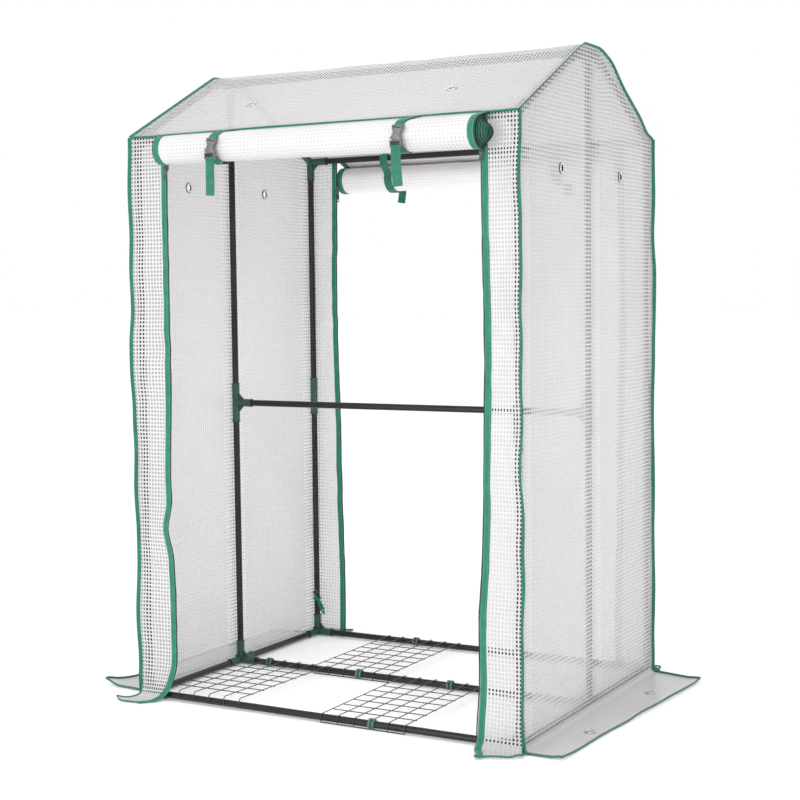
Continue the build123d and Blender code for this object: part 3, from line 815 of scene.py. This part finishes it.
def door_flap(end_name, side_name, place, inner):
    """The flap at the foot of a door strip, bound along its outer edge."""
    tag, end, side = f"{end_name}_{side_name}", ends[end_name], sides[side_name]
    near, half_way, far = door_reach[end_name, side_name]
    at_zip, at_corner = side * inner, side * wall_x
    between = (at_zip + at_corner) / 2
    outer = [(at_corner, far), (between, half_way), (at_zip, near)]
    outline = [(at_zip, 0), (at_corner, 0)] + outer
    if side < 0:
        outline.reverse()
    sheet = mesh_sheet(f"flap_sheet_{tag}", outline, place, looks=laid_looks)
    edge = Build()
    path = place(*along([(at_corner, 0.004)] + outer, 0.004)) + (0, 0, 0.0010)
    edge.tape(path, (0, end * 0.2, 1), 0.0048, 0.0016)
    bind_flap(tag, sheet, edge)


def along(corners, step):
    """Points at even steps along straight runs between flat corners, as two arrays."""
    points = []
    for first, second in zip(corners, corners[1:]):
        count = max(2, int(hypot(second[0] - first[0], second[1] - first[1]) / step))
        points += [np.array(first) + (np.array(second) - first) * k / count for k in range(count)]
    points.append(np.array(corners[-1]))
    points = np.array(points)
    return points[:, 0], points[:, 1]


def door_edge(end_name, side_name, place, inner, top_run):
    """The green zip tape along a strip's inner edge, with its coil of teeth on the doorway side.

    The one CAD node of all four chains is stood for by the front left coil.
    """
    tag, end, side = f"{end_name}_{side_name}", ends[end_name], sides[side_name]
    run = np.linspace(top_run + 0.002, 0, 330)
    foot = np.linspace(0, door_reach[end_name, side_name][0], 40)
    at = side * (inner + band_width / 2 - 0.001)
    forward = np.array([0, end, 0])

    def path(x, runs, proud):
        points = place(np.full(len(runs), x), runs)
        down = np.gradient(points, axis=0)
        face = unit(np.cross(np.array([side, 0, 0]), down))
        face *= np.sign((face * (forward + np.array([0, 0, 0.3]))).sum(-1, keepdims=True))
        return points + face * proud

    upper, lower, coil = Build(), Build(), Build()
    upper.tape(path(at, run, 0.0003), (1, 0, 0), band_width, band_depth)
    lower.tape(path(at, foot, 0.0003), (1, 0, 0), band_width, band_depth)
    upper.piece(f"zip_tape_{tag}", [band_look], "green_webbing", "frame")
    foot_tape = lower.piece(f"zip_tape_foot_{tag}", [band_look], "green_webbing")
    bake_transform(foot_tape)
    fine = np.linspace(top_run + 0.006, -0.002, 1320)
    spine = path(side * (inner - 0.0017), fine, 0.0)
    swell = 1 + 0.16 * np.sin(np.arange(len(fine)) * pi / 2)
    ring = [(cos(tau * k / 8), sin(tau * k / 8)) for k in range(8)]
    points = np.stack([spine + np.outer(swell, (a * 0.0016, b * 0.0011, 0)) for a, b in ring], 1)
    coil.add(points.reshape(-1, 3), tube_faces(len(fine), len(ring)))
    piece = coil.piece(f"zip_teeth_{tag}", [coil_look], "zip_coil", "frame")
    if tag == "front_left":
        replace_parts(piece, "zip_chains")


def side_flaps():
    """The flaps along the side walls, with their eyelets and bound edges."""
    for side_name, side in sides.items():
        place = side_flap_place(side_name)
        front, rear = side_reach[side_name]["front"], side_reach[side_name]["rear"]
        outline = [(-flap_half, 0), (flap_half, 0), (flap_half, rear), (-flap_half, front)]
        eyelet_run = flap_eyelet[1] - wall_x + foot_z * (pi / 2 - 1)
        spots = [(end * flap_eyelet[0], eyelet_run) for end in ends.values()]
        sheet = mesh_sheet(f"flap_sheet_{side_name}", outline, place, None, spots, looks=laid_looks)
        rim = [(-flap_half, 0.004), (-flap_half, front), (flap_half, rear), (flap_half, 0.004)]
        edge = Build()
        edge.tape(place(*along(rim, 0.006)) + (0, 0, 0.0022), (0.1, 0.1, 1), 0.006, 0.0016)
        bind_flap(side_name, sheet, edge)
        rings = Build()
        for spot in spots:
            eyelet_ring(rings, point_on(place, *spot) + (0, 0, 0.0006), (0, 0, 1))
        # The flap eyelets' edges get the faint painted shade.
        looks = [metal_look, eyelet_faint_painted_shade_look]
        ring_piece = rings.piece(f"eyelets_of_flap_{side_name}", looks, "eyelet_metal", f"flap_{side_name}")
        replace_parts(ring_piece, f"skirt_eyelets_{side_name}")


# Where a corner's tape meets the ground: distance out in x and in y, and height
binding_foot = ((0.0150, 0.0034), (0.0105, 0.0036), (0.0065, 0.0058), (0.0036, 0.0090))


def bindings():
    """Green tape over the seams of the cover: corners, gable edges and eaves."""

    def sew(name, path, across, width):
        tape = Build()
        tape.tape(path, across, width, binding_depth)
        tape.piece(name, [binding_look], "green_webbing", "frame")

    heights = np.linspace(foot_z, eave_z, 220)
    for side_name, side in sides.items():
        for end_name, end in ends.items():
            turn = 0.5 + 0.35 * wander(heights, 0.09, 61 + side + 3 * end)
            across = unit(stack(side * np.cos(turn), end * np.sin(turn), 0.0))
            stray = 0.0012 * wander(heights, 0.12, 71 + side)
            out_x, out_y = corner_drift(end, side, heights)
            path = stack(side * (wall_x + out_x), end * (strip_y + out_y), heights)
            path += across * (0.0033 + stray)[:, None]
            foot = np.array([[side * (wall_x + d), end * (strip_y + d), z] for d, z in binding_foot])
            path, across = np.concatenate([foot, path]), np.concatenate([across[:1]] * len(foot) + [across])
            sew(f"corner_binding_{end_name}_{side_name}", path, across, binding_width)
        v = np.linspace(-half_roof, half_roof, 150)
        y, z = roof_profile(v)
        z = z + gable_swell(side * wall_x, np.clip((v - roof_flat) / slope_length, 0, 1)) * (v > 0)
        path = stack(side * (wall_x + 0.0014), y, z + 0.0014)
        sew(f"gable_binding_{side_name}", path, (side * 1.1, 0, 1), 0.0074)
    for end_name, end in ends.items():
        x = np.linspace(-wall_x, wall_x, 180)
        droop = 0.0012 * wander(x, 0.12, 81) - 0.0015 * bump(np.abs(x), 0.44, 0.03)
        path = stack(x, end * (eave_y + 0.0008), eave_z + droop)
        sew(f"eave_binding_{end_name}", path, (0, 0, 1), 0.0052)


# ---- rolled doors -------------------------------------------------------------------------------
class Roll:
    """A rolled door: the sheet leaves the eave, passes over the front of the roll and winds inward."""

    def __init__(self, end_name):
        low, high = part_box(f"door_roll_{end_name}")
        self.end, self.name = ends[end_name], end_name
        self.left, self.right = low.x, high.x
        self.back = min(abs(low.y), abs(high.y))
        self.radius = (max(abs(low.y), abs(high.y)) - self.back) / 2
        self.out = self.back + self.radius
        self.height = low.z + self.radius
        self.body = f"{end_name}_roll"
        turns, self.core = 7.25, 0.0075
        self.tilt = -0.006 if end_name == "front" else 0.0
        self.creep = 0.0031 if end_name == "front" else -0.0008  # sideways step of each inner turn
        self.eave = (self.back + 0.0008, hang_z + 0.0012)
        away, up = self.out - self.eave[0], self.eave[1] - self.height
        self.start = atan2(up, -away) - np.arccos(self.radius / hypot(away, up))
        self.lead = np.sqrt(away**2 + up**2 - self.radius**2)
        self.pitch = (self.radius - self.core) / turns  # from one turn to the next
        self.rate = self.pitch / tau

    def radius_at(self, run):
        """Radius of the winding a distance run from the eave."""
        wound = np.clip(run - self.lead, 0, None)
        return np.sqrt(np.clip(self.radius**2 - 2 * self.rate * wound, self.core**2, None))

    def section(self, run, proud=0.0):
        """(out, z) of the sheet a distance run from the eave, a little proud of its middle."""
        touch_out = self.out + cos(self.start) * self.radius
        touch_z = self.height + sin(self.start) * self.radius
        share = np.clip(run / self.lead, 0, 1)
        lead_out = self.eave[0] + (touch_out - self.eave[0]) * share + cos(self.start) * proud
        lead_z = self.eave[1] + (touch_z - self.eave[1]) * share + sin(self.start) * proud
        radius = self.radius_at(run)
        angle = self.start - (self.radius - radius) / self.rate
        out = np.where(run > self.lead, self.out + np.cos(angle) * (radius + proud), lead_out)
        z = np.where(run > self.lead, self.height + np.sin(angle) * (radius + proud), lead_z)
        return out, z

    def length(self):
        """Length of the sheet from the eave to its wound end."""
        return self.lead + (self.radius**2 - self.core**2) / (2 * self.rate)

    def place(self, x, run, proud=0.0):
        """A point of the sheet by x and its run from the eave."""
        out, z = self.section(run, proud)
        share = (x - self.left) / (self.right - self.left) - 0.5
        grip = ease(run / (self.lead + 0.02))
        grown = 1 + 0.022 * wander(x, 0.08, 91 + self.end) * grip
        out = self.out + (out - self.out) * grown
        z = self.height + (z - self.height) * grown + self.tilt * share * grip
        outer = run < self.lead + 0.12
        dent = 0.0009 * lumps(x, run, 0.035, 0.03, 95) * ease(run / self.lead) * outer
        turned = (self.radius - self.radius_at(run)) / self.pitch
        step = ease((turned - 0.4) / 7) * 7 * self.creep
        return stack(x + step, self.end * (out - dent), z)


def door_rolls():
    """Both rolled doors with the zip tapes that edge them."""
    for end_name in ends:
        roll = Roll(end_name)
        length = roll.length()
        outline = [(roll.left, 0), (roll.right, 0), (roll.right, length), (roll.left, length)]
        cell, looks = (cell_long, cell_wide), wound_looks[end_name]
        sheet = mesh_sheet(f"door_sheet_{end_name}", outline, roll.place, roll.body, (), cell, looks)
        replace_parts(sheet, f"door_roll_{end_name}")
        runs = np.concatenate([np.linspace(0, 0.3, 110), np.linspace(0.303, length - 0.002, 200)])
        for side_name, edge in (("left", roll.left), ("right", roll.right)):
            side = sides[side_name]
            tape = Build()
            x = np.full(len(runs), edge - side * (band_width / 2 - 0.001))
            tape.tape(roll.place(x, runs, 0.0002), (1, 0, 0), band_width, 0.0024)
            tape.tape(roll.place(x + side * (band_width / 2 + 0.001), runs), (1, 0, 0), 0.0028, 0.0013, 1)
            name = f"door_tape_{end_name}_{side_name}"
            tape.piece(name, [band_look, coil_look], "green_webbing", roll.body)
        straps_and_buckles(roll)


def straps_and_buckles(roll):
    """The webbing that holds a roll up, with its side-release buckles and hanging tails."""
    straps, sockets = Build(), Build()
    hang_of = {"front": (0.012, radians(11), 0.062), "rear": (0.004, radians(3), 0.066)}
    slant, lean, front_length = hang_of[roll.name]
    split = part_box(f"buckle_sockets_{roll.name}")[0].z
    for side_name in sides:
        low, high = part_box(f"buckle_plug_{roll.name}_{side_name}")
        x, y = (low.x + high.x) / 2, (low.y + high.y) / 2
        front_run = np.linspace(0.0, front_length, 40)
        path = roll.place(np.full(len(front_run), x), front_run, 0.0022)
        path[:, 0] += slant * (1 - front_run / front_length) ** 1.2
        loop_top = np.array([x + 0.0265 * sin(lean), y, split + 0.0265])
        inner = path[-1] + (loop_top - path[-1]) * ease(np.linspace(0.1, 1, 8))[:, None]
        straps.tape(np.concatenate([path, inner]), (1, 0, 0), webbing_width, 0.0016)
        straps.tape(back_strap(roll, x, y, split), (1, 0, 0), webbing_width, 0.0016)
        strap_leg(roll, side_name, x)
        buckle_socket(sockets, x, y, split, lean)
        buckle_plug(roll, side_name, x, y, split, low.z)
    piece = straps.piece(f"straps_{roll.name}", [webbing_look], "green_webbing", roll.body)
    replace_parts(piece, f"roll_straps_{roll.name}")
    piece = sockets.piece(f"buckle_bodies_{roll.name}", [buckle_look], "buckle_plastic", roll.body)
    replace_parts(piece, f"buckle_sockets_{roll.name}")


def strap_leg(roll, side_name, x):
    """The part of a strap that goes over the eave bar and down inside the doorway to the roll."""
    reach = 0.0093
    turn = np.radians(np.linspace(-8, 182, 30))
    over = [(post_y + cos(a) * reach, eave_bar_z + sin(a) * reach) for a in turn]
    low = (roll.back - 0.0001, roll.height + 0.006)
    start = over[-1]
    share = np.linspace(0, 1, 24)[1:]
    out = start[0] + (low[0] - start[0]) * ease((share - 0.25) / 0.75)
    down = start[1] + (low[1] - start[1]) * share
    points = np.concatenate([np.array(over), np.stack([out, down], -1)])
    leg = Build()
    leg.tape(stack(x, roll.end * points[:, 0], points[:, 1]), (1, 0, 0), webbing_width, 0.0015)
    piece = leg.piece(f"strap_leg_{roll.name}_{side_name}", [webbing_look], "green_webbing")
    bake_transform(piece)


def back_strap(roll, x, y, split):
    """The half of a strap that hangs behind a roll and comes up under it to the plug."""
    reach = roll.radius + 0.0016
    hang = [(roll.back - 0.0001, z) for z in np.linspace(roll.height + 0.012, roll.height + 0.004, 4)]
    turn = np.linspace(pi, pi + radians(128), 40)
    wrap = [(roll.out + cos(a) * reach, roll.height + sin(a) * reach) for a in turn]
    last = wrap[-1]
    goal = (abs(y) - 0.0012, split - 0.0115)
    rise = [(last[0] + (goal[0] - last[0]) * k, last[1] + (goal[1] - last[1]) * k) for k in (0.35, 0.7, 1)]
    points = np.array(hang + wrap + rise)
    return stack(x, roll.end * points[:, 0], points[:, 1])


def buckle_socket(build, x, y, split, lean):
    """The waisted half of a buckle, with its rib, and the rails and bar that the webbing loops over."""
    half, waist, length = 0.0130, 0.0082, 0.030
    turn = Matrix.Translation((x, y, split)) @ Matrix.Rotation(lean, 4, "Y")
    right = [(half, 0), (half, 0.0035), (waist + 0.001, 0.0095), (waist, 0.014), (waist + 0.0012, 0.018)]
    right += [(half - 0.0008, 0.0225), (half, length - 0.005)]
    build.plate(mirrored(right), turn, 0.0088, 0.0012)
    for side in (-1, 1):
        spot = (side * (half - 0.0016), length - 0.0035)
        build.block(turn, spot, (0.0016, 0.0016, -0.004, 0.0035), 0.0062, 0.0008)
    build.block(turn, (0, length - 0.0016), (half, half, -0.0016, 0.0016), 0.005, 0.0008)
    build.block(turn, (0, 0.0135), (0.0045, 0.0035, -0.004, 0.004), 0.0096, 0.0005)


def buckle_plug(roll, side_name, x, y, split, tail_low):
    """The pronged half of a buckle on its ladder, with the webbing tail that hangs from it."""
    build = Build()
    half, length = 0.0135, 0.0138
    turn = Matrix.Translation((x, y, split - length))
    for side in (-1, 1):
        spot = (side * (half - 0.0014), length / 2)
        build.block(turn, spot, (0.0014, 0.0014, -0.0066, 0.0066), 0.0075, 0.0007)
    for height, depth in ((0.0012, 0.0068), (0.0068, 0.0052), (0.0124, 0.0075)):
        build.block(turn, (0, height), (half, half, -0.0012, 0.0012), depth, 0.0006)
    for prong in (-1, 0, 1):
        build.block(turn, (prong * 0.0075, length + 0.006), (0.0016, 0.0012, -0.007, 0.007), 0.0042, 0.0006)
    # A dark plate between the ladder bars: painted shadow in the slot.
    build.block(turn, (0, 0), (0.0102, 0.0102, 0.0034, 0.0106), 0.0058, 0.0005, 2)
    heights = np.linspace(split - 0.0104, tail_low + 0.001, 48)
    drop = (heights[0] - heights) / (heights[0] - heights[-1])
    face = -0.0044 * bump(heights, heights[0], 0.006)
    sway_x = 0.003 * drop**2 * sides[side_name]
    path = stack(x + sway_x, y - roll.end * (face + 0.0002 - 0.0012 * np.sin(drop * 5)), heights)
    build.tape(path, (1, 0, 0.05), webbing_width, 0.0015, 1)
    name = f"buckle_tail_{roll.name}_{side_name}"
    looks = [buckle_look, webbing_look, buckle_slot_painted_shadow_look]
    piece = build.piece(name, looks, "buckle_plastic", f"plug_{roll.name}_{side_name}")
    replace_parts(piece, f"buckle_plug_{roll.name}_{side_name}")


# ---- zip sliders and tie ------------------------------------------------------------------------
def zip_sliders():
    """A slider on each zip: a flared body, a bridge and a holed pull hanging from it."""
    for end_name, end in ends.items():
        for side_name, side in sides.items():
            tag = f"{end_name}_{side_name}"
            node = f"zip_slider_{tag}"
            low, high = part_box(node)
            x, z = (low.x + high.x) / 2, high.z
            build = Build()
            body = [(0.0052, 0), (0.0058, -0.006), (0.0042, -0.014), (0.0036, -0.0195)]
            for face in (-1, 1):
                turn = Matrix.Translation((x, end * strip_y + face * 0.0023, z))
                build.plate(mirrored(body), turn, 0.0013, 0.0004)
            turn = Matrix.Translation((x, end * strip_y, z))
            build.block(turn, (-side * 0.0046, -0.010), (0.0011, 0.0011, -0.008, 0.008), 0.0052, 0.0004)
            turn = Matrix.Translation((x, end * (strip_y + 0.0035), z))
            build.block(turn, (0, -0.009), (0.0014, 0.0014, -0.005, 0.005), 0.0020, 0.0006)
            pull_frame(build, x, end * (strip_y + 0.0042), z - 0.024)
            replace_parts(build.piece(f"slider_{tag}", [slider_look], "zip_slider", f"zip_{tag}"), node)


def pull_frame(build, x, y, z):
    """A zip pull: a flat tab with rounded ends and a round hole near its foot."""
    steps, half, width, hole, hole_z = 40, 0.0145, 0.0042, 0.0023, -0.009
    outer, inner = [], []
    for step in range(steps):
        angle = tau * step / steps
        a, b = cos(angle), sin(angle)
        outer.append((a * width, b * width + (half - width) * (1 if b > 0 else -1)))
        inner.append((a * hole, b * hole + hole_z))
    points = []
    for depth in (-0.0007, 0.0007):
        for ring in (outer, inner):
            points += [(x + px, y + depth, z + pz) for px, pz in ring]
    faces = []
    for k in range(steps):
        n = (k + 1) % steps
        faces.append((k, n, steps + n, steps + k))
        faces.append((2 * steps + n, 2 * steps + k, 3 * steps + k, 3 * steps + n))
        faces.append((n, k, 2 * steps + k, 2 * steps + n))
        faces.append((steps + k, steps + n, 3 * steps + n, 3 * steps + k))
    build.add(points, faces)


def cover_tie():
    """The tape knotted round the rear left post: a band, a small loop and a leaf-shaped end."""
    post, high = middle("corner_post_rear_left"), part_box("cover_tie")[1]
    radius, z = 0.0098, high.z - 0.005
    build = Build()
    angle = np.linspace(0, tau * 1.02, 48)
    ring = stack(post.x + radius * np.cos(angle), post.y + radius * np.sin(angle), z + 0.001 * np.sin(angle))
    build.tape(ring, (0, 0, 1), 0.0075, 0.0016)
    front = post.y - 0.0135
    angle = np.linspace(radians(-60), radians(290), 40)
    loop = stack(post.x + 0.002 + 0.0052 * np.cos(angle), front, z + 0.019 + 0.0062 * np.sin(angle))
    build.tape(loop, (0.2, 1, 0.1), 0.0036, 0.0016)
    knot = np.linspace(0, 1, 16)
    neck = stack(post.x + 0.001 + 0.007 * knot, front - 0.001 * np.sin(knot * pi), z + 0.013 - 0.010 * knot)
    build.tape(neck, (1, 0, 0.4), 0.0082, 0.0018)
    half = [(0, 0.024), (-0.0046, 0.020), (-0.0070, 0.004), (-0.0068, -0.012), (-0.0026, -0.024), (0, -0.028)]
    notch = [(-0.0023 * sin(a), -0.0145 - 0.0023 * cos(a)) for a in np.linspace(0, pi, 9)]
    turn = Matrix.Translation((post.x + 0.0205, front - 0.001, z - 0.017))
    turn = turn @ Matrix.Rotation(radians(-27), 4, "Y")
    for side in (1, -1):
        outline = [(side * px, pz) for px, pz in half + notch]
        build.plate(outline, turn, 0.0015, 0.0003)
    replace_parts(build.piece("tie_of_cover", [binding_look], "green_webbing", "frame"), "cover_tie")


# ---- CAD nodes that keep their shape ------------------------------------------------------------
def paint_frame():
    """Materials for tubes, connectors, shelves and clips."""
    looks = {
        "tube_steel": tube_look,
        "connector_plastic": connector_look,
        "clip_plastic": clip_look,
        "shelf_wire": wire_look,
    }
    slots = {part["node"]: part["material_slot"] for part in frame["record"]["subparts"]}
    for node, piece in frame["nodes"].items():
        look = looks.get(slots[node])
        if look:
            piece.data.materials.clear()
            piece.data.materials.append(look)


# ---- stage, light and camera --------------------------------------------------------------------
def stage():
    """A pale floor, an even sky and soft lamps."""
    floor = bpy.data.meshes.new("floor")
    corners = [(-1, -1), (1, -1), (1, 1), (-1, 1)]
    reach = 40.0
    floor.from_pydata([(x * reach, y * reach, 0) for x, y in corners], [], [(0, 1, 2, 3)])
    plane = add_object("floor", floor)
    plane.location.z = -0.0005
    material, _, shader = new_material("floor", roughness=0.9, Emission_Strength=0.14)
    shader.inputs["Base Color"].default_value = (0.92, 0.92, 0.92, 1)
    shader.inputs["Emission Color"].default_value = (1, 1, 1, 1)
    floor.materials.append(material)
    world = bpy.data.worlds.new("studio")
    world.use_nodes = True
    sky = world.node_tree.nodes["Background"]
    sky.inputs["Color"].default_value, sky.inputs["Strength"].default_value = (1, 1, 1, 1), 1.0
    bpy.context.scene.world = world
    lamps = (
        ("key", (-0.9, -5.4, 1.7), 3.2, 84.0),
        ("rim", (3.6, -3.0, 2.2), 1.2, 14.0),
        ("top", (0.6, -1.2, 4.6), 2.2, 26.0),
    )
    aim = Vector((0, 0, 0.8))
    for name, spot, size, power in lamps:
        lamp = bpy.data.lights.new(name, "AREA")
        lamp.energy, lamp.size = power, size
        holder = add_object(name, lamp)
        holder.location = spot
        holder.rotation_mode = "QUATERNION"
        holder.rotation_quaternion = (Vector(spot) - aim).to_track_quat("Z", "Y")
    fill = bpy.data.lights.new("inner_fill", "POINT")
    fill.energy, fill.shadow_soft_size = 3.4, 0.3
    holder = add_object("inner_fill", fill)
    holder.location = (0.0, -0.05, 0.78)
    holder.visible_camera = holder.visible_glossy = holder.visible_transmission = False
    bpy.context.scene.view_settings.view_transform = "Standard"


def camera():
    """The camera at the photograph's viewing angle."""
    azimuth, elevation, roll = radians(29.245), radians(3.976), radians(-0.669)
    side = Vector((cos(azimuth), sin(azimuth), 0))
    back = Vector((sin(azimuth) * cos(elevation), -cos(azimuth) * cos(elevation), sin(elevation)))
    up = back.cross(side)
    right = side * cos(roll) + up * sin(roll)
    up = up * cos(roll) - side * sin(roll)
    lens = bpy.data.cameras.new("camera")
    lens.lens, lens.sensor_width = 69.815, 36.0
    lens.clip_start, lens.clip_end = 0.05, 200.0
    holder = add_object("camera", lens)
    turn = Matrix((right, up, back)).transposed().to_4x4()
    holder.matrix_world = Matrix.Translation((1.8367, -3.2842, 0.9625)) @ turn
    bpy.context.scene.camera = holder


camera()
stage()
paint_frame()
cover_walls()
cover_roof()
door_strips()
side_flaps()
bindings()
door_rolls()
zip_sliders()
cover_tie()
